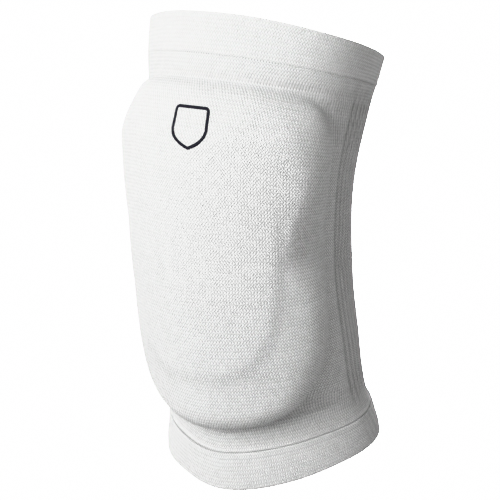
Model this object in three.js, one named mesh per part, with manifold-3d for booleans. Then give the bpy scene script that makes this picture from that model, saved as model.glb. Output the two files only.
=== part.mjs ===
// A knitted volleyball knee pad in the form that it has when worn on a bent knee.
// Millimetres and degrees, +Z up. The origin is the knee's centre, and the front faces -Y.

import * as THREE from "three";
import { mergeVertices } from "three/addons/utils/BufferGeometryUtils.js";
import Module from "manifold-3d";

const wasm = await Module();
wasm.setup();

// The leg that the pad is worn on: its reach below and above the knee's centre along the leg,
// the bend in degrees, and its widths and depths at the lower rim, the knee and the upper rim.
const CALF_REACH = 130;
const THIGH_REACH = 120;
const KNEE_BEND = 43;
const CALF_WIDTH = 139;
const CALF_FRONT = 66;
const CALF_BACK = 40.5;
const KNEE_WIDTH = 122;
const KNEE_FRONT = 53.5;
const KNEE_BACK = 57.5;
const THIGH_WIDTH = 144.5;
const THIGH_FRONT = 64;
const THIGH_BACK = 64.5;

// The knit and its ribs at the back of the knee.
const KNIT_WALL = 1.8;
const RIB_PITCH = 4.4;
const RIB_DEPTH = 0.6;
const RIB_MARGIN = 6;
const RIB_FADE = 18;

// The folded bands at both ends, and the half laps that join them to the sleeve.
const TOP_CUFF_HEIGHT = 20;
const TOP_CUFF_WALL = 2.2;
const BOTTOM_CUFF_HEIGHT = 19;
const BOTTOM_CUFF_WALL = 3.4;
const CUFF_EDGE_ROUND = 0.8;
const LAP_HEIGHT = 6;
const LAP_WALL = 0.9;
const GAP = 0.3;

// The stitched ridge above the lower band, and its section as shares of its width and rise.
const SEAM_WIDTH = 2.6;
const SEAM_RISE = 1.3;
const SEAM_GROOVE = 1.2;
const SEAM_SECTION = [
  { along: 0, up: 0 },
  { along: 0.2, up: 0.8 },
  { along: 0.5, up: 1 },
  { along: 0.8, up: 0.8 },
  { along: 1, up: 0 },
];

// The cushion, its sloped edges, and the thinner flange round its core. The wrap is in degrees.
const PAD_WRAP = 155;
const PAD_TOP_MARGIN = 13;
const PAD_BOTTOM_MARGIN = 9;
const PAD_TOP_SQUARENESS = 6;
const PAD_BOTTOM_SQUARENESS = 3.3;
const PAD_FLANGE_THICKNESS = 13;
const PAD_CORE_RISE = 4;
const PAD_RIM = 2;
const SIDE_EDGE = 12.5;
const TOP_EDGE = 34.5;
const TOP_BEVEL = 1.4;
const BOTTOM_EDGE = 18.5;
const FLANGE_SIDE = 32;
const FLANGE_BOTTOM = 36;
const CORE_SQUARENESS = 2.75;
const CORE_SLOPE = 8;
const CORE_TOP_FADE = 45;

const LENGTH = CALF_REACH + THIGH_REACH;
const ARC_RADIUS = LENGTH / THREE.MathUtils.degToRad(KNEE_BEND);

// Sections of the leg from the lower rim up: the place along the length, the width,
// the depths in front of and behind the centre line, and how square each half is.
const SECTIONS = [
  { at: 0.0, width: CALF_WIDTH, front: CALF_FRONT, back: CALF_BACK, frontSquare: 1.62, backSquare: 1.96 },
  {
    at: 0.12, width: 0.93 * CALF_WIDTH, front: 0.87 * CALF_FRONT, back: 1.19 * CALF_BACK,
    frontSquare: 1.55, backSquare: 2.02,
  },
  {
    at: 0.3, width: 1.04 * KNEE_WIDTH, front: 1.0 * KNEE_FRONT, back: 0.94 * KNEE_BACK,
    frontSquare: 1.66, backSquare: 2.06,
  },
  { at: 0.5, width: KNEE_WIDTH, front: KNEE_FRONT, back: KNEE_BACK, frontSquare: 1.81, backSquare: 2.07 },
  {
    at: 0.7, width: 1.025 * KNEE_WIDTH, front: 1.04 * KNEE_FRONT, back: 1.03 * KNEE_BACK,
    frontSquare: 1.94, backSquare: 2.07,
  },
  {
    at: 0.86, width: 0.94 * THIGH_WIDTH, front: 0.93 * THIGH_FRONT, back: 0.955 * THIGH_BACK,
    frontSquare: 2.0, backSquare: 2.08,
  },
  { at: 1.0, width: THIGH_WIDTH, front: THIGH_FRONT, back: THIGH_BACK, frontSquare: 2.0, backSquare: 2.1 },
];
const RIDGE_SOFTNESS = 0.2;

// How sharply the pad's end edges give way to its side edges at the corners.
const CORNER_BLEND = 4;

// How finely the faceted solids are divided.
const FRONT_FACETS = 24;
const LENGTH_STEPS = 8;
const PAD_FACETS = 40;
const PAD_RINGS = [0.45, 0.56, 0.61, 0.66, 0.78, 0.88, 0.94, 0.98, 1];
const CUT_MARGIN = 4;
const TANGENT_STEP = 0.5;
const FULL_TURN = 360;

const { clamp, degToRad, lerp, radToDeg, smoothstep } = THREE.MathUtils;

// Heights along the leg where the pieces meet.
const topShoulder = LENGTH - TOP_CUFF_HEIGHT;
const bottomShoulder = BOTTOM_CUFF_HEIGHT;
const lapTop = topShoulder + LAP_HEIGHT;
const lapBottom = bottomShoulder - LAP_HEIGHT;
const seamTop = bottomShoulder + SEAM_GROOVE + SEAM_WIDTH;
const padTop = topShoulder - PAD_TOP_MARGIN;
const padBottom = seamTop + PAD_BOTTOM_MARGIN;
const padMiddle = (padTop + padBottom) / 2;
const padHalfHeight = (padTop - padBottom) / 2;
const padRadius = KNEE_WIDTH / 2;
const ribStart = PAD_WRAP / 2 + RIB_MARGIN;
const ribCount = Math.round((degToRad(FULL_TURN - 2 * ribStart) * padRadius) / RIB_PITCH);

// The value of one table column at a place along the length, on a smooth curve through the rows.
function sectionValue(column, at) {
  const place = clamp(at, 0, 1);
  const slope = (i) => {
    const before = SECTIONS[Math.max(i - 1, 0)];
    const after = SECTIONS[Math.min(i + 1, SECTIONS.length - 1)];
    return (after[column] - before[column]) / (after.at - before.at);
  };
  const i = Math.max(SECTIONS.findLastIndex((row, k) => row.at <= place && k < SECTIONS.length - 1), 0);
  const low = SECTIONS[i];
  const high = SECTIONS[i + 1];
  const span = high.at - low.at;
  const t = (place - low.at) / span;
  const fromLow = 2 * t ** 3 - 3 * t ** 2 + 1;
  const bend = (t ** 3 - 2 * t ** 2 + t) * slope(i) + (t ** 3 - t ** 2) * slope(i + 1);
  return fromLow * low[column] + (1 - fromLow) * high[column] + bend * span;
}

// One term of the section's outline, rounded off where the axis crosses it.
function outlineTerm(x, square) {
  const soft = RIDGE_SOFTNESS;
  const power = (v) => (v * v + soft * soft) ** (square / 2) - soft ** square;
  return power(x) / power(1);
}

// A point of the leg's outline in its section plane. turn is 0 at the front and 90 on the +X side.
function outlinePoint(turn, height) {
  const at = height / LENGTH;
  const angle = degToRad(turn);
  const inFront = Math.cos(angle) > 0;
  const square = sectionValue(inFront ? "frontSquare" : "backSquare", at);
  const depth = sectionValue(inFront ? "front" : "back", at);
  const halfWidth = sectionValue("width", at) / 2;
  const radius = (
    outlineTerm(Math.sin(angle), square) / halfWidth ** square
    + outlineTerm(Math.cos(angle), square) / depth ** square
  ) ** (-1 / square);
  return new THREE.Vector2(radius * Math.sin(angle), -radius * Math.cos(angle));
}

// Turns a section plane about the arc that the leg's centre line follows.
function placed(x, y, height) {
  const lean = (height - CALF_REACH) / ARC_RADIUS;
  return new THREE.Vector3(
    x,
    ARC_RADIUS - (ARC_RADIUS - y) * Math.cos(lean),
    (ARC_RADIUS - y) * Math.sin(lean),
  );
}

// A point at a distance out from the leg, square to its outline.
function legPoint(turn, height, out) {
  const point = outlinePoint(turn, height);
  const tangent = outlinePoint(turn + TANGENT_STEP, height)
    .sub(outlinePoint(turn - TANGENT_STEP, height))
    .normalize();
  return placed(point.x + tangent.y * out, point.y - tangent.x * out, height);
}

// A closed mesh from rings of points, each ring as long as the others.
function ringMesh(rings, closesOnItself) {
  const count = rings[0].length;
  const positions = rings.flat().flatMap((p) => [p.x, p.y, p.z]);
  const faces = [];
  const last = closesOnItself ? rings.length : rings.length - 1;
  for (let i = 0; i < last; i += 1) {
    const low = i * count;
    const high = ((i + 1) % rings.length) * count;
    for (let k = 0; k < count; k += 1) {
      const next = (k + 1) % count;
      faces.push(low + k, low + next, high + next, low + k, high + next, high + k);
    }
  }
  return { positions, faces, count };
}

// Closes one end of a ring mesh with a fan to a point.
function addFan(mesh, ringIndex, tip, facesUp) {
  const start = ringIndex * mesh.count;
  const centre = mesh.positions.length / 3;
  mesh.positions.push(tip.x, tip.y, tip.z);
  for (let k = 0; k < mesh.count; k += 1) {
    const here = start + k;
    const next = start + ((k + 1) % mesh.count);
    if (facesUp) mesh.faces.push(here, next, centre);
    else mesh.faces.push(next, here, centre);
  }
}

function toGeometry(positions, faces) {
  const geometry = new THREE.BufferGeometry();
  geometry.setAttribute("position", new THREE.Float32BufferAttribute(positions, 3));
  geometry.setIndex(faces);
  return geometry;
}

function toSolid(mesh) {
  const geometry = mergeVertices(toGeometry(mesh.positions, mesh.faces), 1e-3);
  return new wasm.Manifold(new wasm.Mesh({
    numProp: 3,
    vertProperties: Float32Array.from(geometry.attributes.position.array),
    triVerts: Uint32Array.from(geometry.index.array),
  }));
}

function fromSolid(solid) {
  const mesh = solid.getMesh();
  return toGeometry(Array.from(mesh.vertProperties), Array.from(mesh.triVerts));
}

// The solid inside a surface round the leg, through rings that each have a height and a distance out.
// dipAt gives how far the surface dips at a turn's index and a height.
function legSolid(turns, rings, dipAt) {
  const points = rings.map(({ height, out }) => (
    turns.map((turn, k) => legPoint(turn, height, out - dipAt(k, height)))
  ));
  const mesh = ringMesh(points, false);
  addFan(mesh, 0, placed(0, 0, rings[0].height), false);
  addFan(mesh, rings.length - 1, placed(0, 0, rings.at(-1).height), true);
  return toSolid(mesh);
}

// Turns round the leg, even in front of the ribs and behind them, so that walls round the leg nest.
function turnsRound(backFacets) {
  const front = Array.from({ length: FRONT_FACETS }, (_, k) => lerp(-ribStart, ribStart, k / FRONT_FACETS));
  const back = Array.from({ length: backFacets }, (_, k) => (
    lerp(ribStart, FULL_TURN - ribStart, k / backFacets)
  ));
  return [...front, ...back];
}

// A band round the leg with a closed profile of heights and distances out, counter-clockwise
// when height runs up and distance runs right.
function bandMesh(profile) {
  const rings = profile.map(({ height, out }) => (
    turnsRound(ribCount).map((turn) => legPoint(turn, height, out))
  ));
  return ringMesh(rings, true);
}

// How deep the knit's outside dips at a turn. Each rib has a crest and a groove.
function ribGroove(k, height) {
  const isGroove = k > FRONT_FACETS && (k - FRONT_FACETS) % 2 === 1;
  const fade = smoothstep(height - seamTop, 0, RIB_FADE) * smoothstep(topShoulder - height, 0, RIB_FADE);
  return isGroove ? RIB_DEPTH * fade : 0;
}

// Rings that the sleeve's outside runs through, with a step at each half lap.
function sleeveRings() {
  const middle = Array.from({ length: LENGTH_STEPS + 1 }, (_, i) => (
    { height: lerp(seamTop, topShoulder - GAP, i / LENGTH_STEPS), out: KNIT_WALL }
  ));
  return [
    { height: lapBottom, out: LAP_WALL },
    { height: bottomShoulder + GAP, out: LAP_WALL },
    { height: bottomShoulder + GAP, out: KNIT_WALL },
    ...middle,
    { height: topShoulder - GAP, out: LAP_WALL },
    { height: lapTop, out: LAP_WALL },
  ];
}

// The leg's own form, run past both ends of the sleeve.
function channelSolid() {
  const walls = sleeveRings().map(({ height }) => height);
  const heights = [lapBottom - CUT_MARGIN, ...new Set(walls), lapTop + CUT_MARGIN];
  return legSolid(turnsRound(ribCount), heights.map((height) => ({ height, out: 0 })), () => 0);
}

// How far the cushion's core stands above its flange, from 0 to 1, at a place on the pad.
function coreShare(turn, rise) {
  const halfWidth = degToRad(PAD_WRAP / 2) * padRadius;
  const across = Math.abs(degToRad(turn) * padRadius) / (halfWidth - FLANGE_SIDE);
  const down = Math.max(-rise, 0) / (padHalfHeight - FLANGE_BOTTOM);
  const reach = (across ** CORE_SQUARENESS + down ** CORE_SQUARENESS) ** (1 / CORE_SQUARENESS);
  const inside = smoothstep((1 - reach) * (halfWidth - FLANGE_SIDE), -CORE_SLOPE / 2, CORE_SLOPE / 2);
  return Math.max(inside, smoothstep(rise, 0, CORE_TOP_FADE));
}

// The cushion's thickness where its outline is scaled by ring, at a turn and a rise from its middle.
function padThickness(turn, rise, ring) {
  const across = Math.abs(turn) / (PAD_WRAP / 2);
  const up = Math.abs(rise) / padHalfHeight;
  const atEnd = up ** CORNER_BLEND / Math.max(across ** CORNER_BLEND + up ** CORNER_BLEND, Number.EPSILON);
  const endEdge = rise > 0 ? TOP_EDGE : BOTTOM_EDGE;
  const sideShare = SIDE_EDGE / (degToRad(PAD_WRAP / 2) * padRadius);
  const edgeShare = lerp(sideShare, endEdge / padHalfHeight, atEnd);
  const inward = clamp((1 - ring) / edgeShare, 0, 1);
  const rounded = Math.sqrt(1 - (1 - inward) ** 2);
  const bevelled = 1 - (1 - inward) ** TOP_BEVEL;
  const profile = rise > 0 ? lerp(rounded, bevelled, atEnd) : rounded;
  const full = PAD_FLANGE_THICKNESS + PAD_CORE_RISE * coreShare(turn, rise);
  return PAD_RIM + (full - PAD_RIM) * profile;
}

// The cushion's form grown by a distance on its outside. It reaches into the leg, where it is cut.
function padSolid(grow) {
  const halfTurn = PAD_WRAP / 2 + radToDeg(grow / padRadius);
  const halfHeight = padHalfHeight + grow;
  const placeAt = (k, ring) => {
    const direction = (2 * Math.PI * k) / PAD_FACETS;
    const [across, up] = [Math.cos(direction), Math.sin(direction)];
    const square = up > 0 ? PAD_TOP_SQUARENESS : PAD_BOTTOM_SQUARENESS;
    const reach = (Math.abs(across) ** square + Math.abs(up) ** square) ** (-1 / square);
    return { turn: halfTurn * across * reach * ring, rise: halfHeight * up * reach * ring };
  };
  const ringAt = (ring, outAt) => Array.from({ length: PAD_FACETS }, (_, k) => {
    const { turn, rise } = placeAt(k, ring);
    return legPoint(turn, padMiddle + rise, outAt(turn, rise));
  });
  const outside = [...PAD_RINGS].reverse().map((ring) => (
    ringAt(ring, (turn, rise) => padThickness(turn, rise, ring) + grow)
  ));
  const mesh = ringMesh([ringAt(1, () => -CUT_MARGIN), ...outside], false);
  addFan(mesh, 0, placed(0, 0, padMiddle), false);
  addFan(mesh, outside.length, legPoint(0, padMiddle, padThickness(0, 0, 0) + grow), true);
  return toSolid(mesh);
}

function makeSleeve() {
  const outside = legSolid(turnsRound(2 * ribCount), sleeveRings(), ribGroove);
  return fromSolid(outside.add(padSolid(KNIT_WALL)).subtract(channelSolid().add(padSolid(0))));
}

function makeFoamPad() {
  return fromSolid(padSolid(-GAP).subtract(channelSolid()));
}

// A folded band. inward is 1 where the leg runs up from its rim, and -1 where it runs down.
function makeCuff(rim, inward, cuffHeight, wall) {
  const at = (fromRim, out) => ({ height: rim + inward * fromRim, out });
  const profile = [
    at(CUFF_EDGE_ROUND, 0),
    at(0, CUFF_EDGE_ROUND / 2),
    at(0, wall - CUFF_EDGE_ROUND),
    at(CUFF_EDGE_ROUND, wall),
    at(cuffHeight - CUFF_EDGE_ROUND / 2, wall),
    at(cuffHeight, wall - CUFF_EDGE_ROUND / 2),
    at(cuffHeight, LAP_WALL + GAP),
    at(cuffHeight - LAP_HEIGHT - GAP, LAP_WALL + GAP),
    at(cuffHeight - LAP_HEIGHT - GAP, 0),
  ];
  if (inward < 0) profile.reverse();
  const mesh = bandMesh(profile);
  return toGeometry(mesh.positions, mesh.faces);
}

function makeCuffSeam() {
  const profile = SEAM_SECTION.map(({ along, up }) => ({
    height: bottomShoulder + SEAM_GROOVE + along * SEAM_WIDTH,
    out: KNIT_WALL + GAP + up * SEAM_RISE,
  }));
  const mesh = bandMesh(profile);
  return toGeometry(mesh.positions, mesh.faces);
}

const knit = { color: 0xf1f1ef, roughness: 0.92, metalness: 0 };
const foam = { color: 0xd9d9d6, roughness: 0.85, metalness: 0 };

function piece(name, geometry, look) {
  const mesh = new THREE.Mesh(geometry, new THREE.MeshStandardMaterial(look));
  mesh.name = name;
  return mesh;
}

const kneePad = new THREE.Group();
kneePad.name = "knee_pad";
kneePad.add(
  piece("sleeve", makeSleeve(), knit),
  piece("foam_pad", makeFoamPad(), foam),
  piece("top_cuff", makeCuff(LENGTH, -1, TOP_CUFF_HEIGHT, TOP_CUFF_WALL), knit),
  piece("bottom_cuff", makeCuff(0, 1, BOTTOM_CUFF_HEIGHT, BOTTOM_CUFF_WALL), knit),
  piece("cuff_seam", makeCuffSeam(), knit),
);

export default kneePad;
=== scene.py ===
# A knitted volleyball knee pad in the form that it has when worn on a bent knee.
# Sizes are in millimetres and degrees, and meshes are made in metres.
import math

import bpy
import numpy as np
from mathutils import Matrix, Vector


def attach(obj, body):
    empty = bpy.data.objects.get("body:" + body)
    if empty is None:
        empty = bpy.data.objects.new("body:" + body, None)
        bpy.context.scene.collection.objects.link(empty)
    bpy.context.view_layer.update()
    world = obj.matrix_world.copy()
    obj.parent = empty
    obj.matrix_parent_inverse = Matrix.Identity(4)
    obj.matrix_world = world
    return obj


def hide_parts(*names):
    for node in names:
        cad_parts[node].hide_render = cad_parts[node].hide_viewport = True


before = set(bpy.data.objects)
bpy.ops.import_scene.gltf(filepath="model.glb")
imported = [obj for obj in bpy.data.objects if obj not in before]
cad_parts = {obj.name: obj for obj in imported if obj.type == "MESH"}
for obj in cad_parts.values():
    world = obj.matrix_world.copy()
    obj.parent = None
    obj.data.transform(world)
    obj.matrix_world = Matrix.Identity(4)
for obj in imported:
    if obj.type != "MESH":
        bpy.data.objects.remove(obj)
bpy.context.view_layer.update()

MM = 0.001
FULL_TURN = 360
HALF_TURN = 180
TINY = 1e-12

# The leg's reach and bend, and its widths and depths at the lower rim, the knee and the upper rim.
CALF_REACH = 130
THIGH_REACH = 120
KNEE_BEND = 43
CALF_WIDTH, CALF_FRONT, CALF_BACK = 139, 66, 40.5
KNEE_WIDTH, KNEE_FRONT, KNEE_BACK = 122, 53.5, 57.5
THIGH_WIDTH, THIGH_FRONT, THIGH_BACK = 144.5, 64, 64.5
RIDGE_SOFTNESS = 0.2
OUTLINE_STEP = 0.5

# The knit, its ribs, the bands and the stitched ridge.
KNIT_WALL = 1.8
RIB_PITCH = 4.4
RIB_DEPTH = 1.0
RIB_SHARPNESS = 1.6
RIB_MARGIN = 8.5
RIB_SHADE = 0.5
RIB_FADE = 18
TOP_CUFF_HEIGHT = 20
TOP_CUFF_WALL = 2.2
BOTTOM_CUFF_HEIGHT = 19
BOTTOM_CUFF_WALL = 3.4
LAP_HEIGHT = 6
LAP_WALL = 0.9
GAP = 0.3
SEAM_WIDTH = 2.6
SEAM_RISE = 0.55
SEAM_GROOVE = 0.95

# The ribs' sideways buckle beside the knee, which eases in over the first ribs and fades behind.
BUCKLE_HEIGHT = 122
BUCKLE_SHIFT = 2.6
BUCKLE_LENGTH = 9
BUCKLE_EASE = 8
BUCKLE_FADE_START, BUCKLE_FADE_END = 105, 130

# How far the knit's ends stray along the leg, and over which angles and lengths.
LOW_SAG_FRONT = 1.0
LOW_SAG_SIDE = 7.0
LOW_SAG_CENTRE = 20
LOW_SAG_START, LOW_SAG_FULL = 40, 105
LOW_SAG_REACH = 75
TOP_LIFT = 1.3
TOP_LIFT_FULL, TOP_LIFT_END = 15, 75
TOP_LIFT_REACH = 60

# The cushion's outline and thickness.
PAD_WRAP = 155
PAD_TOP_MARGIN = 13
PAD_BOTTOM_MARGIN = 12.2
PAD_TOP_SQUARENESS = 6
PAD_BOTTOM_SQUARENESS = 3.5
PAD_FLANGE_THICKNESS = 15.2
PAD_CORE_RISE = 1.8
PAD_TAPER = 1.7
PAD_RIM = 2
FLANGE_FALL = 3.0
FLANGE_FALL_POWER = 1.2
FLANGE_SIDE = 30.5
FLANGE_BOTTOM = 31.5
CORE_SQUARENESS = 2.75
CORE_SLOPE = 9
CORE_TOP_FADE = 45

# The cushion's edges: rounded at its sides and bottom, and bevelled at its waist and top.
SIDE_EDGE = 14.5
BOTTOM_EDGE = 13
CORNER_BLEND = 4
WAIST_EDGE = 13
WAIST_HEIGHT = 130
WAIST_ABOVE = 36
WAIST_BELOW = 12
WAIST_BEVEL = 1.25
TOP_EDGE = 28
TOP_BEVEL_FOOT = 1.2
TOP_BEVEL_CORNER = 1.1
TOP_STEP_SHARE = 0.34
TOP_STEP_LENGTH = 0.26
TOP_STEP_FULL, TOP_STEP_END = 30, 60

LENGTH = CALF_REACH + THIGH_REACH
ARC_RADIUS = LENGTH / math.radians(KNEE_BEND)

# Place along the length, width, front and back depth, and how square each half is.
PLACE, WIDTH, FRONT, BACK, FRONT_SQUARE, BACK_SQUARE = range(6)
SECTIONS = np.array([
    [0.00, CALF_WIDTH, CALF_FRONT, CALF_BACK, 1.62, 1.96],
    [0.12, 0.93 * CALF_WIDTH, 0.87 * CALF_FRONT, 1.19 * CALF_BACK, 1.55, 2.02],
    [0.30, 1.04 * KNEE_WIDTH, 1.00 * KNEE_FRONT, 0.94 * KNEE_BACK, 1.66, 2.06],
    [0.50, KNEE_WIDTH, KNEE_FRONT, KNEE_BACK, 1.81, 2.07],
    [0.70, 1.025 * KNEE_WIDTH, 1.04 * KNEE_FRONT, 1.03 * KNEE_BACK, 1.94, 2.07],
    [0.86, 0.94 * THIGH_WIDTH, 0.93 * THIGH_FRONT, 0.955 * THIGH_BACK, 2.00, 2.08],
    [1.00, THIGH_WIDTH, THIGH_FRONT, THIGH_BACK, 2.00, 2.10],
])

top_shoulder = LENGTH - TOP_CUFF_HEIGHT
bottom_shoulder = BOTTOM_CUFF_HEIGHT
seam_bottom = bottom_shoulder + SEAM_GROOVE
seam_top = seam_bottom + SEAM_WIDTH
pad_top = top_shoulder - PAD_TOP_MARGIN
pad_bottom = seam_top + PAD_BOTTOM_MARGIN
pad_middle = (pad_top + pad_bottom) / 2
pad_half_height = (pad_top - pad_bottom) / 2
pad_radius = KNEE_WIDTH / 2
pad_half_arc = math.radians(PAD_WRAP / 2) * pad_radius
core_half_arc = pad_half_arc - FLANGE_SIDE
core_half_height = pad_half_height - FLANGE_BOTTOM
rib_start = PAD_WRAP / 2 + RIB_MARGIN
rib_turn = FULL_TURN - 2 * rib_start
rib_count = round(math.radians(rib_turn) * pad_radius / RIB_PITCH)


def smoothstep(x, start, end):
    t = np.clip((x - start) / (end - start), 0, 1)
    return t * t * (3 - 2 * t)


def mix(a, b, share):
    return a + (b - a) * share


def hump(x, width):
    return np.exp(-(x / width) ** 2)


def wrapped(turn):
    return (turn + HALF_TURN) % FULL_TURN - HALF_TURN


def section_value(column, at):
    """One table column at a place along the length, on a smooth curve through the rows."""
    at = np.clip(at, 0, 1)
    x, y = SECTIONS[:, PLACE], SECTIONS[:, column]
    i = np.clip(np.searchsorted(x, at, side="right") - 1, 0, len(x) - 2)

    def slope(k):
        before, after = np.maximum(k - 1, 0), np.minimum(k + 1, len(x) - 1)
        return (y[after] - y[before]) / (x[after] - x[before])

    span = x[i + 1] - x[i]
    t = (at - x[i]) / span
    share = 2 * t ** 3 - 3 * t ** 2 + 1
    bend = (t ** 3 - 2 * t ** 2 + t) * slope(i) + (t ** 3 - t ** 2) * slope(i + 1)
    return share * y[i] + (1 - share) * y[i + 1] + bend * span


def outline_term(x, square):
    def power(v):
        return (v * v + RIDGE_SOFTNESS ** 2) ** (square / 2) - RIDGE_SOFTNESS ** square
    return power(x) / power(1.0)


def outline_point(turn, height):
    """The leg's outline in its section plane. turn is 0 at the front and 90 on the +X side."""
    at, angle = height / LENGTH, np.radians(turn)
    in_front = np.cos(angle) > 0
    square = np.where(in_front, section_value(FRONT_SQUARE, at), section_value(BACK_SQUARE, at))
    depth = np.where(in_front, section_value(FRONT, at), section_value(BACK, at))
    half_width = section_value(WIDTH, at) / 2
    radius = (
        outline_term(np.sin(angle), square) / half_width ** square
        + outline_term(np.cos(angle), square) / depth ** square
    ) ** (-1 / square)
    return radius * np.sin(angle), -radius * np.cos(angle)


def placed(x, y, height):
    """Points of the section planes, which turn about one axis as the leg bends."""
    lean = (height - CALF_REACH) / ARC_RADIUS
    return np.stack([
        x + 0 * lean,
        ARC_RADIUS - (ARC_RADIUS - y) * np.cos(lean),
        (ARC_RADIUS - y) * np.sin(lean),
    ], axis=-1)


def end_shift(turn, height):
    """How far the knit strays along the leg: its lower end sags, and its upper end rides up."""
    from_centre = np.abs(wrapped(turn - LOW_SAG_CENTRE))
    sag = LOW_SAG_FRONT + LOW_SAG_SIDE * smoothstep(from_centre, LOW_SAG_START, LOW_SAG_FULL)
    lift = TOP_LIFT * (1 - smoothstep(np.abs(wrapped(turn)), TOP_LIFT_FULL, TOP_LIFT_END))
    at_top = smoothstep(height, LENGTH - TOP_LIFT_REACH, LENGTH)
    at_bottom = 1 - smoothstep(height, 0, LOW_SAG_REACH)
    return lift * at_top - sag * at_bottom


def leg_point(turn, height, out):
    """Points at a distance out from the leg, square to its outline."""
    turn, height, out = np.broadcast_arrays(
        np.asarray(turn, float), np.asarray(height, float), np.asarray(out, float))
    height = height + end_shift(turn, height)
    x, y = outline_point(turn, height)
    x1, y1 = outline_point(turn + OUTLINE_STEP, height)
    x0, y0 = outline_point(turn - OUTLINE_STEP, height)
    length = np.hypot(x1 - x0, y1 - y0)
    return placed(x + (y1 - y0) / length * out, y - (x1 - x0) / length * out, height)


def arc_across(turn):
    """How far round the knee a place is from the front."""
    return np.abs(np.radians(turn) * pad_radius)


def core_share(turn, rise):
    """1 on the cushion's raised core, which runs to its top, and 0 on the flange round it."""
    across = arc_across(turn) / core_half_arc
    down = np.maximum(-rise, 0) / core_half_height
    reach = (across ** CORE_SQUARENESS + down ** CORE_SQUARENESS) ** (1 / CORE_SQUARENESS)
    inside = smoothstep((1 - reach) * core_half_arc, -CORE_SLOPE / 2, CORE_SLOPE / 2)
    return np.maximum(inside, smoothstep(rise, 0, CORE_TOP_FADE))


def pad_thickness(turn, rise, ring):
    """The cushion's thickness at a rise from its middle. ring is 0 there and 1 at its edge."""
    across = (np.abs(turn) / (PAD_WRAP / 2)) ** CORNER_BLEND
    up = (np.abs(rise) / pad_half_height) ** CORNER_BLEND
    at_end = up / np.maximum(across + up, TINY)
    from_waist = rise + pad_middle - WAIST_HEIGHT
    waist = hump(from_waist, np.where(from_waist > 0, WAIST_ABOVE, WAIST_BELOW))
    side_edge = SIDE_EDGE + WAIST_EDGE * waist
    end_edge = np.where(rise > 0, TOP_EDGE, BOTTOM_EDGE)
    edge_share = mix(side_edge / pad_half_arc, end_edge / pad_half_height, at_end)
    inward = np.clip((1 - ring) / edge_share, 0, 1)
    rounded = np.sqrt(1 - (1 - inward) ** 2)
    bevelled = 1 - (1 - inward ** TOP_BEVEL_FOOT) ** TOP_BEVEL_CORNER
    step = 1 - (1 - np.minimum(inward / TOP_STEP_LENGTH, 1)) ** 2
    in_front = TOP_STEP_SHARE * (1 - smoothstep(np.abs(turn), TOP_STEP_FULL, TOP_STEP_END))
    bevelled = mix(bevelled, step, in_front)
    profile = np.where(rise > 0, mix(rounded, bevelled, at_end), rounded)
    profile = mix(profile, 1 - (1 - inward) ** WAIST_BEVEL, waist * (1 - at_end))
    full = PAD_FLANGE_THICKNESS + PAD_CORE_RISE * core_share(turn, rise)
    full = full + PAD_TAPER * rise / pad_half_height
    beside_core = np.clip((arc_across(turn) - core_half_arc) / FLANGE_SIDE, 0, 1)
    full = full - FLANGE_FALL * beside_core ** FLANGE_FALL_POWER
    return PAD_RIM + (full - PAD_RIM) * profile


def pad_ring(turn, height, grow=0):
    """How far out a place is in the cushion's outline: 0 in its middle and 1 at its edge."""
    rise = height - pad_middle
    square = np.where(rise > 0, PAD_TOP_SQUARENESS, PAD_BOTTOM_SQUARENESS)
    across = np.abs(turn) / (PAD_WRAP / 2 + math.degrees(grow / pad_radius))
    up = np.abs(rise) / (pad_half_height + grow)
    return (across ** square + up ** square) ** (1 / square)


def over_pad(turn, height, grow):
    """How far the cushion, grown by grow, stands out from the leg at a place, or 0 beside it."""
    ring = pad_ring(turn, height, grow)
    thickness = pad_thickness(turn, height - pad_middle, np.minimum(ring, 1))
    return np.where(ring < 1, thickness + grow, 0)


GRADING_SAMPLES = 4001


def graded(start, end, count, peaks):
    """count + 1 places from start to end, closer near each peak (place, width, strength)."""
    x = np.linspace(start, end, GRADING_SAMPLES)
    density = np.ones_like(x)
    for place, width, strength in peaks:
        density += strength * hump(x - place, width)
    total = np.concatenate([[0], np.cumsum((density[1:] + density[:-1]) / 2)])
    return np.interp(np.linspace(0, total[-1], count + 1), total, x)


def blurred(field, places, sigma, period=None):
    """A field smoothed along its last axis, whose samples lie at places."""
    gap = places[:, None] - places[None, :]
    if period:
        gap = (gap + period / 2) % period - period / 2
        width = (np.roll(places, -1) - np.roll(places, 1)) % period
    else:
        width = np.gradient(places)
    weight = np.exp(-0.5 * (gap / sigma) ** 2) * width[None, :]
    return field @ (weight / weight.sum(1, keepdims=True)).T


WAVE_COUNT = 10
PHASE_RANGE = 6.28


def waves(turn, height, seed, size, fastest):
    """A slow irregular wave of about size, with at most fastest waves round and along the leg."""
    random = np.random.default_rng(seed)
    total = 0
    for _ in range(WAVE_COUNT):
        rounds = random.integers(1, fastest + 1)
        lengths = random.uniform(1, fastest) * 2 * math.pi / LENGTH
        strength = random.normal()
        phase = random.uniform(0, PHASE_RANGE)
        total = total + strength * np.cos(rounds * np.radians(turn) + lengths * height + phase)
    return size * total / math.sqrt(WAVE_COUNT)


# Meshes


def add_mesh(name, points, faces, corner_uvs, material, grooves=None):
    """A smooth-shaded piece from points in millimetres, with one UV for each face corner.

    grooves has a value for each point, and goes into a second UV layer."""
    mesh = bpy.data.meshes.new(name)
    mesh.from_pydata((np.asarray(points) * MM).tolist(), [], faces)
    layers = {"UVMap": corner_uvs}
    if grooves is not None:
        at_corners = grooves[np.array(faces).ravel()]
        layers["Grooves"] = np.stack([at_corners, np.zeros(len(at_corners))], axis=1)
    for label, values in layers.items():
        layer = mesh.uv_layers.new(name=label)
        layer.data.foreach_set("uv", np.asarray(values, np.float32).ravel())
    mesh.polygons.foreach_set("use_smooth", np.ones(len(mesh.polygons), bool))
    mesh.materials.append(material)
    mesh.update()
    piece = bpy.data.objects.new(name, mesh)
    bpy.context.scene.collection.objects.link(piece)
    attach(piece, "root")
    return piece


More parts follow.
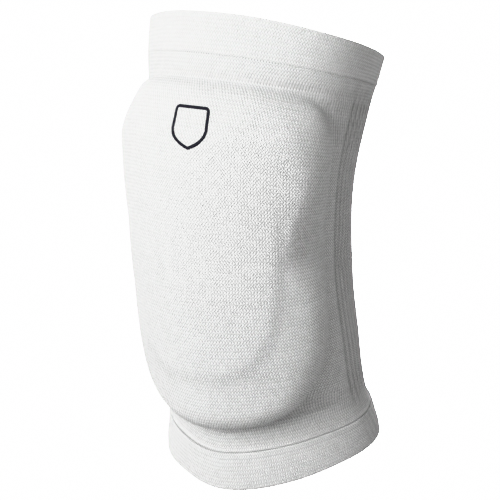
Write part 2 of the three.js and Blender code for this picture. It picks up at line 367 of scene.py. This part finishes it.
def tube_mesh(rows, row_u, row_v, pairs):
    """Points, faces and UVs of strips between pairs of rows, each a row of points round the leg.

    row_u and row_v have one more column than the points."""
    count = len(rows[0])
    faces, uvs = [], []
    for a, b in pairs:
        for k in range(count):
            n = (k + 1) % count
            faces.append((a * count + k, a * count + n, b * count + n, b * count + k))
            uvs += [
                (row_u[a][k], row_v[a][k]), (row_u[a][k + 1], row_v[a][k + 1]),
                (row_u[b][k + 1], row_v[b][k + 1]), (row_u[b][k], row_v[b][k]),
            ]
    return np.concatenate(rows), faces, uvs


def closed_tube(rows, row_u, row_v):
    """Points, faces and UVs of a tube whose last row joins its first.

    row_u and row_v have one more row than the points."""
    pairs = [(i, i + 1) for i in range(len(rows))]
    points, faces, uvs = tube_mesh([*rows, rows[0]], row_u, row_v, pairs)
    size = len(rows) * len(rows[0])
    return points[:size], [tuple(i % size for i in face) for face in faces], uvs


def round_lengths(points):
    """The share of the way round at each column of a closed row, with 1 at the end."""
    steps = np.linalg.norm(np.roll(points, -1, axis=0) - points, axis=1)
    total = np.concatenate([[0], np.cumsum(steps)])
    return total / total[-1]


def knitted_tube(rows, wales, places):
    """A closed tube with wales stitches round each row, and each row's place in the courses."""
    row_u = [round_lengths(row) * wales for row in [*rows, rows[0]]]
    row_v = [np.full(len(rows[0]) + 1, place) for place in places]
    return closed_tube(rows, row_u, row_v)


def all_round(count):
    return np.linspace(0, FULL_TURN, count, endpoint=False)


# Materials


class Shade:
    """Builds one material's nodes. Values that are the same all over are set on the shader."""

    def __init__(self, name, roughness, specular=0.3):
        self.material = bpy.data.materials.new(name)
        self.material.use_nodes = True
        self.tree = self.material.node_tree
        self.surface = self.tree.nodes["Principled BSDF"]
        self.surface.inputs["Roughness"].default_value = roughness
        self.surface.inputs["Specular IOR Level"].default_value = specular

    def node(self, kind, **settings):
        node = self.tree.nodes.new(kind)
        for key, value in settings.items():
            setattr(node, key, value)
        return node

    def put(self, socket, value):
        if isinstance(value, bpy.types.NodeSocket):
            self.tree.links.new(value, socket)
        else:
            socket.default_value = value

    def maths(self, operation, *values):
        node = self.node("ShaderNodeMath", operation=operation)
        for socket, value in zip(node.inputs, values):
            self.put(socket, value)
        return node.outputs[0]

    def uv(self, layer="UVMap"):
        split = self.node("ShaderNodeSeparateXYZ")
        self.put(split.inputs[0], self.node("ShaderNodeUVMap", uv_map=layer).outputs[0])
        return split.outputs[0], split.outputs[1]

    def place(self):
        return self.node("ShaderNodeTexCoord").outputs["Object"]

    def noise(self, where, scale, detail, roughness=0.5):
        node = self.node("ShaderNodeTexNoise")
        self.put(node.inputs["Vector"], where)
        node.inputs["Scale"].default_value = scale
        node.inputs["Detail"].default_value = detail
        node.inputs["Roughness"].default_value = roughness
        return node.outputs["Fac"]

    def wave(self, value):
        """From 0 to 1 and back for each whole step of the value."""
        turned = self.maths("MULTIPLY", value, 2 * math.pi)
        return self.maths("MULTIPLY_ADD", self.maths("COSINE", turned), -0.5, 0.5)

    def each_stitch(self, u, v):
        """A value from 0 to 1 that differs from one stitch to the next."""
        cell = self.node("ShaderNodeCombineXYZ")
        self.put(cell.inputs[0], self.maths("FLOOR", u))
        self.put(cell.inputs[1], self.maths("FLOOR", v))
        node = self.node("ShaderNodeTexWhiteNoise", noise_dimensions="2D")
        self.put(node.inputs["Vector"], cell.outputs[0])
        return node.outputs["Value"]

    def colour(self, factor, dark, light):
        ramp = self.node("ShaderNodeMix", data_type="RGBA")
        self.put(ramp.inputs["Factor"], factor)
        ramp.inputs["A"].default_value = (*dark, 1)
        ramp.inputs["B"].default_value = (*light, 1)
        self.tree.links.new(ramp.outputs["Result"], self.surface.inputs["Base Color"])

    def bump(self, height, distance):
        node = self.node("ShaderNodeBump")
        node.inputs["Distance"].default_value = distance
        self.put(node.inputs["Height"], height)
        self.tree.links.new(node.outputs[0], self.surface.inputs["Normal"])


# The stitches' form, as shares of a stitch's width and height.
STITCH_SLANT = 1.9
LEG_FULLNESS = 0.3
WALE_RELIEF = 0.4
COURSE_WANDER = 0.5

# Noise scales are in cells a metre, and the rest are shares of the stitches' height and tone.
SLOW_SCALE, SLOW_DETAIL = 60.0, 3.0
FUZZ_SCALE, FUZZ_DETAIL, FUZZ_ROUGHNESS = 2600.0, 2.0, 0.7
FUZZ_HEIGHT = 0.12
UNEVEN_HEIGHT = 0.14
STITCH_TONE = 0.86
SLOW_TONE = 0.06
UNEVEN_TONE = 0.08


def knit_height(shade, u, v, slow):
    """The height of a plain knit: a column of stitches for each whole u, and a row for each v."""
    column = shade.maths("FRACT", u)
    side = shade.maths("ABSOLUTE", shade.maths("SUBTRACT", column, 0.5))
    wander = shade.maths("MULTIPLY", slow, COURSE_WANDER)
    slanted = shade.maths("MULTIPLY_ADD", side, STITCH_SLANT, v)
    row = shade.wave(shade.maths("ADD", slanted, wander))
    leg = shade.maths("SINE", shade.maths("MULTIPLY", side, 2 * math.pi))
    leg = shade.maths("POWER", shade.maths("MAXIMUM", leg, 0.0), LEG_FULLNESS)
    ridge = shade.maths("MULTIPLY_ADD", shade.wave(column), WALE_RELIEF, 1 - WALE_RELIEF)
    return shade.maths("MULTIPLY", shade.maths("MULTIPLY", row, leg), ridge)


def knit_material(name, dark, light, depth, ribbed=False):
    shade = Shade(name, roughness=0.9)
    u, v = shade.uv()
    here = shade.place()
    slow = shade.noise(here, SLOW_SCALE, SLOW_DETAIL)
    fuzz = shade.noise(here, FUZZ_SCALE, FUZZ_DETAIL, FUZZ_ROUGHNESS)
    stitch = knit_height(shade, u, v, slow)
    uneven = shade.each_stitch(u, v)
    height = shade.maths("MULTIPLY_ADD", fuzz, FUZZ_HEIGHT, stitch)
    height = shade.maths("MULTIPLY_ADD", uneven, UNEVEN_HEIGHT, height)
    slow_tone = shade.maths("MULTIPLY", slow, SLOW_TONE)
    tone = shade.maths("MULTIPLY_ADD", stitch, STITCH_TONE, slow_tone)
    tone = shade.maths("MULTIPLY_ADD", uneven, UNEVEN_TONE, tone)
    if ribbed:
        groove, _ = shade.uv("Grooves")
        lit = shade.maths("MULTIPLY_ADD", groove, -RIB_SHADE, 1.0)
        tone = shade.maths("MULTIPLY", tone, lit)
    shade.colour(tone, dark, light)
    shade.bump(height, depth)
    return shade.material


FOAM_CELL_SCALE = 900.0
FOAM_SLOW_SCALE, FOAM_SLOW_DETAIL = 45.0, 3.0
FOAM_CELL_SHARE = 0.5


def foam_material(name, dark, light, depth):
    shade = Shade(name, roughness=0.85)
    cells = shade.node("ShaderNodeTexVoronoi", feature="SMOOTH_F1")
    shade.put(cells.inputs["Vector"], shade.place())
    cells.inputs["Scale"].default_value = FOAM_CELL_SCALE
    slow = shade.noise(shade.place(), FOAM_SLOW_SCALE, FOAM_SLOW_DETAIL)
    slow = shade.maths("MULTIPLY", slow, 1 - FOAM_CELL_SHARE)
    tone = shade.maths("MULTIPLY_ADD", cells.outputs["Distance"], FOAM_CELL_SHARE, slow)
    shade.colour(tone, dark, light)
    shade.bump(cells.outputs["Distance"], depth)
    return shade.material


def ink_material(name, dark, light, depth):
    """Dark ink printed on the knit, so the stitches show through it."""
    shade = Shade(name, roughness=0.8, specular=0.15)
    u, v = shade.uv()
    slow = shade.noise(shade.place(), SLOW_SCALE, SLOW_DETAIL)
    stitch = knit_height(shade, u, v, slow)
    # Painted shade: the ink is darker between the stitches than on their tops.
    shade.colour(stitch, dark, light)
    shade.bump(stitch, depth)
    return shade.material


# Colours on and between the stitches, and the stitches' depth in metres.
WHITE_YARN = (1.0, 1.0, 0.995)
KNIT_SHADOW = (0.22, 0.22, 0.218)
BAND_SHADOW = (0.26, 0.26, 0.258)
STITCH_DEPTH = 0.001
SEAM_STITCH_DEPTH = 0.0008

knit = knit_material("knit", KNIT_SHADOW, WHITE_YARN, STITCH_DEPTH)
band_knit = knit_material("band_knit", BAND_SHADOW, WHITE_YARN, STITCH_DEPTH, ribbed=True)
ribbed_knit = knit_material("ribbed_knit", KNIT_SHADOW, WHITE_YARN, STITCH_DEPTH, ribbed=True)
seam_knit = knit_material("seam_knit", BAND_SHADOW, WHITE_YARN, SEAM_STITCH_DEPTH)
foam = foam_material("foam", dark=(0.55, 0.55, 0.54), light=(0.72, 0.72, 0.71), depth=0.00025)
ink = ink_material("ink", dark=(0.006, 0.006, 0.008), light=(0.02, 0.021, 0.025), depth=0.00015)

# The sleeve

WALES = 240
COURSES = 116
FRONT_COLUMNS = 212
COLUMNS_PER_RIB = 4
OUTER_ROWS = 195
INNER_ROWS = 40

# Where the grid is finer: place, width and strength.
SIDE_GRADING = [(-75, 8, 1.8), (75, 8, 1.8)]
HEIGHT_GRADING = [(pad_bottom + 3, 7, 2.2), (seam_top, 4, 0.6), (pad_top - 2, 8, 0.8)]

# How soft the creases round the cushion are, and where they are softer beside it.
CREASE_RADIUS = 72
CREASE_SOFTNESS = 1.1
SIDE_CREASE_SOFTNESS = 1.9
SIDE_CREASE_START, SIDE_CREASE_FULL = 55, 72
SIDE_CREASE_FOOT, SIDE_CREASE_TOP = 8, 45

# Slow waves, small swells at the seam and the upper band, and the crease over the cushion's top.
SLEEVE_WAVE = 0.12
SLEEVE_WAVE_SEED = 3
SLEEVE_WAVE_FASTEST = 5
SEAM_SWELL = 0.5
SEAM_SWELL_DROP = 0.5
SEAM_SWELL_LENGTH = 2.2
TOP_SWELL = 0.35
TOP_SWELL_LENGTH = 6
TOP_CREASE = 0.5
TOP_CREASE_LENGTH = 3
TOP_CREASE_FULL, TOP_CREASE_END = 60, 75

turns = np.concatenate([
    graded(-rib_start, rib_start, FRONT_COLUMNS, SIDE_GRADING)[:-1],
    np.linspace(rib_start, FULL_TURN - rib_start, COLUMNS_PER_RIB * rib_count, endpoint=False),
])
heights = graded(bottom_shoulder + GAP, top_shoulder - GAP, OUTER_ROWS, HEIGHT_GRADING)
grid_turn, grid_height = np.meshgrid(turns, heights)


def sleeve_out(turn, height):
    """How far the knit's outside stands out from the leg, with soft creases round the cushion."""
    side = wrapped(turn)
    ring = pad_ring(side, height)
    on_pad = pad_thickness(side, height - pad_middle, np.minimum(ring, 1)) + KNIT_WALL
    raw = np.where(ring < 1, on_pad, KNIT_WALL)
    arcs = turns * math.pi / HALF_TURN * CREASE_RADIUS

    def soft(sigma):
        along = blurred(raw, arcs, sigma, period=2 * math.pi * CREASE_RADIUS)
        return blurred(along.T, heights, sigma).T

    beside = smoothstep(np.abs(side), SIDE_CREASE_START, SIDE_CREASE_FULL)
    above = smoothstep(height, pad_bottom + SIDE_CREASE_FOOT, pad_bottom + SIDE_CREASE_TOP)
    return mix(soft(CREASE_SOFTNESS), soft(SIDE_CREASE_SOFTNESS), beside * above)


def rib_dip(turn, height):
    """How deep the grooves between the ribs are at a place."""
    side = np.abs(wrapped(turn))
    buckle = BUCKLE_SHIFT * hump(height - BUCKLE_HEIGHT, BUCKLE_LENGTH)
    buckle = buckle * smoothstep(side, rib_start, rib_start + BUCKLE_EASE)
    buckle = buckle * (1 - smoothstep(side, BUCKLE_FADE_START, BUCKLE_FADE_END))
    phase = (side + buckle - rib_start) / rib_turn * rib_count
    groove = (0.5 - 0.5 * np.cos(2 * math.pi * phase)) ** RIB_SHARPNESS
    fade_in = smoothstep(height - seam_top, 0, RIB_FADE)
    fade_out = smoothstep(top_shoulder - height, 0, RIB_FADE)
    behind = (turn > rib_start) & (turn < FULL_TURN - rib_start)
    return np.where(behind, RIB_DEPTH * groove * (fade_in * fade_out), 0)


rib_grooves = rib_dip(grid_turn, grid_height)
outside = sleeve_out(grid_turn, grid_height) - rib_grooves
outside = outside + waves(
    grid_turn, grid_height, SLEEVE_WAVE_SEED, SLEEVE_WAVE, SLEEVE_WAVE_FASTEST)
over_seam = grid_height - seam_top + SEAM_SWELL_DROP
outside = outside + SEAM_SWELL * hump(over_seam, SEAM_SWELL_LENGTH)
outside = outside + TOP_SWELL * hump(grid_height - top_shoulder, TOP_SWELL_LENGTH)
in_front = 1 - smoothstep(np.abs(wrapped(grid_turn)), TOP_CREASE_FULL, TOP_CREASE_END)
outside = outside - TOP_CREASE * in_front * hump(grid_height - pad_top, TOP_CREASE_LENGTH)
outer = leg_point(grid_turn, grid_height, outside)

inner_rows = np.unique(np.linspace(0, len(heights) - 1, INNER_ROWS).round().astype(int))
inner_turn, inner_height = grid_turn[inner_rows], grid_height[inner_rows]
inner = leg_point(inner_turn, inner_height, over_pad(wrapped(inner_turn), inner_height, GAP / 2))


def knit_uvs(points):
    """Stitch columns are even round each row, and stitch rows even up each column."""
    row_u = np.array([round_lengths(row) * WALES for row in points])
    steps = np.linalg.norm(np.diff(points, axis=0), axis=2)
    up = np.concatenate([np.zeros((1, points.shape[1])), np.cumsum(steps, axis=0)])
    row_v = up / up[-1] * COURSES
    return row_u, np.concatenate([row_v, row_v[:, :1]], axis=1)


def build_sleeve():
    u_out, v_out = knit_uvs(outer)
    u_in, v_in = knit_uvs(inner)
    n_out, n_in = len(outer), len(inner)
    pairs = [(i, i + 1) for i in range(n_out - 1)]
    pairs += [(n_out + i + 1, n_out + i) for i in range(n_in - 1)]
    pairs += [(n_out, 0), (n_out - 1, n_out + n_in - 1)]
    points, faces, uvs = tube_mesh([*outer, *inner], [*u_out, *u_in], [*v_out, *v_in], pairs)
    groove = (rib_grooves / RIB_DEPTH).ravel()
    grooves = np.concatenate([groove, np.zeros(len(points) - len(groove))])
    return add_mesh("sleeve_knit", points, faces, uvs, ribbed_knit, grooves)


sleeve = build_sleeve()
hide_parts("sleeve")

# The cushion

FOAM_COLUMNS = 160
FOAM_RINGS = 33
FOAM_RING_SPREAD = 1.7
FOAM_OFF_LEG = 0.05


def build_foam():
    directions = np.linspace(0, 2 * math.pi, FOAM_COLUMNS, endpoint=False)
    across, up = np.cos(directions), np.sin(directions)
    square = np.where(up > 0, PAD_TOP_SQUARENESS, PAD_BOTTOM_SQUARENESS)
    reach = (np.abs(across) ** square + np.abs(up) ** square) ** (-1 / square)
    half_turn = PAD_WRAP / 2 - math.degrees(GAP / pad_radius)
    half_height = pad_half_height - GAP
    shares = 1 - np.linspace(0, 1, FOAM_RINGS + 1)[:-1] ** FOAM_RING_SPREAD

    def front_point(turn, rise, share):
        return leg_point(turn, pad_middle + rise, pad_thickness(turn, rise, share) - GAP)

    front, back = [], []
    for share in shares[::-1]:
        turn, rise = half_turn * across * reach * share, half_height * up * reach * share
        front.append(front_point(turn, rise, share))
        back.append(leg_point(turn, pad_middle + rise, FOAM_OFF_LEG))
    front_tip = front_point(0.0, 0.0, 0.0)
    back_tip = leg_point(0.0, pad_middle, FOAM_OFF_LEG)
    points = np.concatenate([*front, *back[::-1], front_tip[None], back_tip[None]])
    count, rings = FOAM_COLUMNS, 2 * FOAM_RINGS
    faces = []
    for i in range(rings - 1):
        for k in range(count):
            n = (k + 1) % count
            faces.append((i * count + k, (i + 1) * count + k, (i + 1) * count + n, i * count + n))
    for k in range(count):
        n = (k + 1) % count
        faces.append((rings * count, k, n))
        faces.append((rings * count + 1, (rings - 1) * count + n, (rings - 1) * count + k))
    corners = sum(len(face) for face in faces)
    return add_mesh("foam_cushion", points, faces, np.zeros((corners, 2)), foam)


cushion = build_foam()
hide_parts("foam_pad")

# The folded bands

BAND_COLUMNS = 420
BAND_COURSES_PER_MM = 0.5
BAND_RIB_DEPTH = 0.3
BAND_WAVE_FASTEST = 3
BAND_OUTER_SIDE = 1.3
RIM_HEIGHT = 1
RIM_WAVE_HEIGHT = 8
FLARE_TURN, FLARE_WIDTH = 305, 24
FLARE_HEIGHT, FLARE_POWER = 15, 1.5

# The fold at the rim, and the curve of the band's other edge as shares of that edge's size.
FOLD_CORNER = 0.95
FOLD_INSIDE = [(0.3, 0.12), (0.0, 0.6)]
FOLD_ROWS = 6
FACE_ROWS = 30
FACE_MARGIN = 0.8
BULGE_POWER = 0.7
EDGE_CURVE = [(0.45, 0.12), (0.15, 0.4)]
EDGE_DROP = 0.8
INSIDE_ROWS = 5


def build_band(name, rim, inward, profile, wales, seed, wave_size, flare=0, rib_share=0):
    """A band round the leg with a closed profile of (distance from the rim, distance out)."""
    turn = all_round(BAND_COLUMNS)
    profile = np.array(profile, float)
    if inward < 0:
        profile = profile[::-1]
    steps = np.linalg.norm(np.diff(profile, axis=0, append=profile[:1]), axis=1)
    along = np.concatenate([[0], np.cumsum(steps)])
    groove = rib_share * rib_dip(turn, LENGTH / 2) / RIB_DEPTH
    rows, grooves = [], []
    for from_rim, out in profile:
        outer_side = out > BAND_OUTER_SIDE
        grooves.append(groove if outer_side and from_rim > RIM_HEIGHT else 0 * groove)
        out = out - BAND_RIB_DEPTH * grooves[-1]
        height = rim + inward * from_rim
        shift = waves(turn, height, seed, wave_size, BAND_WAVE_FASTEST) * outer_side
        edge = waves(turn, 0, seed + 1, wave_size, BAND_WAVE_FASTEST)
        edge = edge * max(0, 1 - from_rim / RIM_WAVE_HEIGHT)
        flared = flare * hump(turn - FLARE_TURN, FLARE_WIDTH)
        flared = flared * max(0, 1 - from_rim / FLARE_HEIGHT) ** FLARE_POWER
        rows.append(leg_point(turn, height + edge, out + shift + flared))
    points, faces, uvs = knitted_tube(rows, wales, along * BAND_COURSES_PER_MM)
    return add_mesh(name, points, faces, uvs, band_knit, np.concatenate(grooves))


def folded(height, wall, bulge, edge, reach, lines=()):
    """A band's profile: a close fold at the rim, and a half lap at its other side.

    lines are shallow grooves round it (place, width, depth)."""
    rim = [(FOLD_CORNER, 0.0), *FOLD_INSIDE]
    rim += [
        (FOLD_CORNER - FOLD_CORNER * math.sin(a), wall - FOLD_CORNER + FOLD_CORNER * math.cos(a))
        for a in np.linspace(math.pi / 2, 0, FOLD_ROWS)
    ]
    face = []
    for x in np.linspace(FOLD_CORNER, height - FACE_MARGIN, FACE_ROWS)[1:]:
        share = (x - FOLD_CORNER) / (height - FOLD_CORNER)
        out = wall + bulge * math.sin(math.pi * share) ** BULGE_POWER
        for place, width, depth in lines:
            out -= depth * hump(x - place, width)
        face.append((x, out))
    top = [(height - edge * back, wall - edge * drop) for back, drop in EDGE_CURVE]
    top.append((height + reach, wall - edge * EDGE_DROP))
    lap_end = height - LAP_HEIGHT - GAP
    lap = [(height + reach, LAP_WALL + GAP), (lap_end, LAP_WALL + GAP), (lap_end, 0.0)]
    inside = [(x, 0.0) for x in np.linspace(lap_end, FOLD_CORNER, INSIDE_ROWS)[1:-1]]
    return rim + face + top + lap + inside


CALF_BAND_OVERLAP = 0.8
CALF_BAND_LINE = (16.4, 0.5, 0.3)

thigh_profile = folded(TOP_CUFF_HEIGHT, TOP_CUFF_WALL, bulge=0.1, edge=0.3, reach=0.25)
top_band = build_band(
    "thigh_band", rim=LENGTH, inward=-1, profile=thigh_profile, wales=250, seed=11, wave_size=0.22)
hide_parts("top_cuff")
calf_profile = folded(
    BOTTOM_CUFF_HEIGHT + CALF_BAND_OVERLAP, BOTTOM_CUFF_WALL,
    bulge=0.3, edge=0.7, reach=0.0, lines=[CALF_BAND_LINE])
bottom_band = build_band(
    "calf_band", rim=0, inward=1, profile=calf_profile, wales=264, seed=17, wave_size=0.2,
    flare=3.4, rib_share=0.6)
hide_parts("bottom_cuff")

# The stitched ridge

RIDGE_COLUMNS = 1440
RIDGE_ROWS = 9
RIDGE_STITCHES = 290
RIDGE_SLANT = 2.4
RIDGE_STITCH_RISE = 0.12
RIDGE_WALES = 264
RIDGE_COURSE = 0.22


def build_ridge():
    turn = all_round(RIDGE_COLUMNS)
    rows = []
    for a in np.linspace(0, math.pi, RIDGE_ROWS):
        along = 0.5 - 0.5 * math.cos(a)
        stitch = np.cos(np.radians(turn) * RIDGE_STITCHES + RIDGE_SLANT * along)
        rise = SEAM_RISE * math.sin(a) * (1 + RIDGE_STITCH_RISE * stitch)
        rows.append(leg_point(turn, seam_bottom + along * SEAM_WIDTH, KNIT_WALL + GAP / 2 + rise))
    places = [RIDGE_COURSE * i for i in range(RIDGE_ROWS + 1)]
    points, faces, uvs = knitted_tube(rows, RIDGE_WALES, places)
    return add_mesh("seam_ridge", points, faces, uvs, seam_knit)


ridge = build_ridge()
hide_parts("cuff_seam")

# Half laps under the bands, as thin rims of the sleeve

LAP_COLUMNS = 360
LAP_CLEARANCE = 0.1


def build_lap(name, bottom, top):
    turn = all_round(LAP_COLUMNS)
    out = LAP_WALL - LAP_CLEARANCE
    profile = [(bottom, 0.0), (bottom, out), (top, out), (top, 0.0)]
    rows = [leg_point(turn, *place) for place in profile]
    points, faces, uvs = knitted_tube(rows, WALES, [float(i) for i in range(len(rows) + 1)])
    return add_mesh(name, points, faces, uvs, knit)


lower_lap = build_lap("lower_lap", bottom_shoulder - LAP_HEIGHT, bottom_shoulder + GAP)
upper_lap = build_lap("upper_lap", top_shoulder - GAP, top_shoulder + LAP_HEIGHT)

# A plain dark outline printed on the cushion

MARK_TURN = 3.2
MARK_HEIGHT = 194.2
MARK_WIDTH = 22.5
MARK_TALL = 24
MARK_STROKE = 2
MARK_LEAN = -0.06
MARK_COLUMNS = 220
INK_STITCH_WIDTH = 1.5
INK_STITCH_HEIGHT = 1.25

# The line's section: place across it, as a share of half its width, and height over the knit.
INK_SECTION = [
    (-1, -0.15), (-1, 0.12), (-0.5, 0.16), (0, 0.16), (0.5, 0.16), (1, 0.12), (1, -0.15),
]

# The shield's flat top and corners as shares of half its width, and its sides' lower curve.
SHIELD_FLAT = 0.82
SHIELD_CORNER = 0.18
SHIELD_SIDE_END = 0.1
SHIELD_CURVE_OUT, SHIELD_CURVE_DOWN = 0.9, 0.68
TOP_POINTS, CORNER_POINTS, SIDE_POINTS, CURVE_POINTS = 30, 12, 20, 40
SHORTEST_STEP = 1e-6


def shield_outline(count):
    """A plain shield: a flat top with rounded corners, and sides that run down to a soft point."""
    w, h = MARK_WIDTH / 2, MARK_TALL / 2
    path = [(x, h) for x in np.linspace(0, w * SHIELD_FLAT, TOP_POINTS)[:-1]]
    for a in np.linspace(math.pi / 2, 0, CORNER_POINTS):
        path.append((
            w * (SHIELD_FLAT + SHIELD_CORNER * math.cos(a)),
            h - w * SHIELD_CORNER * (1 - math.sin(a)),
        ))
    side = np.linspace(h - w * SHIELD_CORNER, -SHIELD_SIDE_END * h, SIDE_POINTS)
    path += [(w, y) for y in side[1:]]
    for t in np.linspace(0, 1, CURVE_POINTS)[1:]:
        start, pull, end = (1 - t) ** 2, 2 * t * (1 - t), t * t
        path.append((
            start * w + pull * w * SHIELD_CURVE_OUT,
            -start * SHIELD_SIDE_END * h - pull * SHIELD_CURVE_DOWN * h - end * h,
        ))
    right = np.array(path)
    left = np.array([(-x, y) for x, y in path[::-1]])[1:-1]
    both = np.concatenate([right, left])
    steps = np.linalg.norm(np.diff(both, axis=0, append=both[:1]), axis=1)
    keep = steps > SHORTEST_STEP
    both, steps = both[keep], steps[keep]
    along = np.concatenate([[0], np.cumsum(steps)])
    ring = np.concatenate([both, both[:1]])
    places = np.linspace(0, along[-1], count, endpoint=False)
    return np.stack([np.interp(places, along, ring[:, 0]), np.interp(places, along, ring[:, 1])], 1)


def surface_out(turn, height):
    """The sleeve's finished outside at any place in front, from its own grid."""
    t = np.interp(turn, turns[:FRONT_COLUMNS], np.arange(FRONT_COLUMNS))
    h = np.interp(height, heights, np.arange(len(heights)))
    i, j = np.floor(h).astype(int), np.floor(t).astype(int)
    up, across = h - i, t - j
    lower = outside[i, j] * (1 - across) + outside[i, j + 1] * across
    upper = outside[i + 1, j] * (1 - across) + outside[i + 1, j + 1] * across
    return lower * (1 - up) + upper * up


def build_mark():
    ring = shield_outline(MARK_COLUMNS)
    along = np.roll(ring, -1, axis=0) - np.roll(ring, 1, axis=0)
    tangent = along / np.linalg.norm(along, axis=1, keepdims=True)
    normal = np.stack([tangent[:, 1], -tangent[:, 0]], 1)
    out = surface_out(MARK_TURN, MARK_HEIGHT)
    middle = leg_point(MARK_TURN, MARK_HEIGHT, out)
    per_degree = np.linalg.norm(leg_point(MARK_TURN + 1, MARK_HEIGHT, out) - middle)
    per_height = np.linalg.norm(leg_point(MARK_TURN, MARK_HEIGHT + 1, out) - middle)
    rows, row_u, row_v = [], [], []
    for offset, lift in INK_SECTION:
        x, y = (ring + normal * offset * MARK_STROKE / 2).T
        turn = MARK_TURN + (x + MARK_LEAN * y) / per_degree
        height = MARK_HEIGHT + y / per_height
        rows.append(leg_point(turn, height, surface_out(turn, height) + lift))
        row_u.append(np.append(x, x[0]) / INK_STITCH_WIDTH)
        row_v.append(np.append(y, y[0]) / INK_STITCH_HEIGHT)
    points, faces, uvs = closed_tube(rows, [*row_u, row_u[0]], [*row_v, row_v[0]])
    return add_mesh("printed_outline", points, faces, uvs, ink)


mark = build_mark()

# Floor, light and camera, in metres

FLOOR_HALF = 6.0
FLOOR_LEVEL = -0.8
FLOOR_COLOUR = (0.9, 0.9, 0.9, 1)
WHITE = (1, 1, 1, 1)
BACKDROP_STRENGTH = 20.0
SKY_STRENGTH = 0.94
CAMERA_AZIMUTH = 33.75
CAMERA_ELEVATION = 14.36
CAMERA_DISTANCE = 1.4
CAMERA_ROLL = -0.9
CAMERA_REACH = 50
SENSOR_WIDTH = 36
FOCAL_PIXELS = 2289
IMAGE_PIXELS = 500
AIM_BELOW = 0.0106


def build_floor():
    mesh = bpy.data.meshes.new("floor")
    corners = [(-1, -1), (1, -1), (1, 1), (-1, 1)]
    mesh.from_pydata([(x * FLOOR_HALF, y * FLOOR_HALF, FLOOR_LEVEL) for x, y in corners],
                     [], [(0, 1, 2, 3)])
    material = bpy.data.materials.new("floor")
    material.use_nodes = True
    surface = material.node_tree.nodes["Principled BSDF"]
    surface.inputs["Base Color"].default_value = FLOOR_COLOUR
    surface.inputs["Emission Color"].default_value = WHITE
    surface.inputs["Emission Strength"].default_value = BACKDROP_STRENGTH
    mesh.materials.append(material)
    floor = bpy.data.objects.new("floor", mesh)
    bpy.context.scene.collection.objects.link(floor)
    floor.visible_diffuse = False
    floor.visible_glossy = False
    floor.visible_shadow = False


def direction(azimuth, elevation):
    """A unit vector from the pad. azimuth is 0 in front and 90 on the +X side."""
    a, e = math.radians(azimuth), math.radians(elevation)
    return Vector((math.sin(a) * math.cos(e), -math.cos(a) * math.cos(e), math.sin(e)))


def add_light(name, azimuth, elevation, distance, size, power):
    """A soft round light that faces the pad."""
    data = bpy.data.lights.new(name, "AREA")
    data.shape = "DISK"
    data.size = size
    data.energy = power
    light = bpy.data.objects.new(name, data)
    bpy.context.scene.collection.objects.link(light)
    where = direction(azimuth, elevation) * distance
    light.location = where
    light.rotation_euler = (-where).to_track_quat("-Z", "Y").to_euler()


def add_sky():
    """White behind the pad, and a softer even light on it."""
    world = bpy.data.worlds.new("studio")
    bpy.context.scene.world = world
    world.use_nodes = True
    nodes, links = world.node_tree.nodes, world.node_tree.links
    seen = nodes.new("ShaderNodeLightPath")
    strength = nodes.new("ShaderNodeMapRange")
    strength.inputs["To Min"].default_value = SKY_STRENGTH
    strength.inputs["To Max"].default_value = BACKDROP_STRENGTH
    links.new(seen.outputs["Is Camera Ray"], strength.inputs["Value"])
    links.new(strength.outputs["Result"], nodes["Background"].inputs["Strength"])
    nodes["Background"].inputs["Color"].default_value = WHITE
    bpy.context.scene.view_settings.view_transform = "Khronos PBR Neutral"


def add_camera():
    data = bpy.data.cameras.new("camera")
    data.sensor_width = SENSOR_WIDTH
    data.lens = FOCAL_PIXELS / IMAGE_PIXELS * SENSOR_WIDTH
    data.clip_end = CAMERA_REACH
    camera = bpy.data.objects.new("camera", data)
    bpy.context.scene.collection.objects.link(camera)
    camera.location = direction(CAMERA_AZIMUTH, CAMERA_ELEVATION) * CAMERA_DISTANCE
    aim = direction(CAMERA_AZIMUTH, CAMERA_ELEVATION + 90) * -AIM_BELOW
    toward = (aim - camera.location).to_track_quat("-Z", "Y").to_matrix()
    roll = Matrix.Rotation(math.radians(CAMERA_ROLL), 3, "Z")
    camera.rotation_euler = (toward @ roll).to_euler()
    bpy.context.scene.camera = camera


build_floor()
add_light("back", azimuth=214, elevation=22, distance=1.6, size=1.2, power=50)
add_light("key", azimuth=-18, elevation=24, distance=1.6, size=1.15, power=81)
add_sky()
add_camera()
